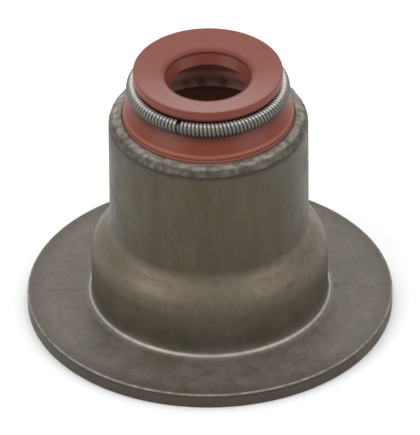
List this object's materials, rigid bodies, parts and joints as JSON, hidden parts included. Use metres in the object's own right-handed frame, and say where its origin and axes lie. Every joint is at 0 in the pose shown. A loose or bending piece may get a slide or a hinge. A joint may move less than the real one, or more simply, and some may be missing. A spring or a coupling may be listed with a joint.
{
  "type": "valve stem seal",
  "caption": "Valve stem seal with a built-in spring seat: stepped steel sleeve on a flange, rubber head with a sealing lip, and a coiled garter spring in its groove.",
  "frame": {"origin": "centre of the flange's underside, on the valve stem's axis", "axes": "+Z along the valve stem, from the cylinder head towards the sealing lip; X and Y lie in the flange's underside"},
  "size_m": [0.028, 0.028, 0.0215],
  "materials": {
    "pressed_steel": "satin, bare pressed steel with a thin oil film",
    "seal_rubber": "satin moulded fluoroelastomer, red-brown",
    "spring_steel": "bright drawn wire"
  },
  "bodies": {
    "root": {"housing": "pressed_steel", "seal_body": "seal_rubber", "garter_spring": "spring_steel"}
  },
  "joints": []
}
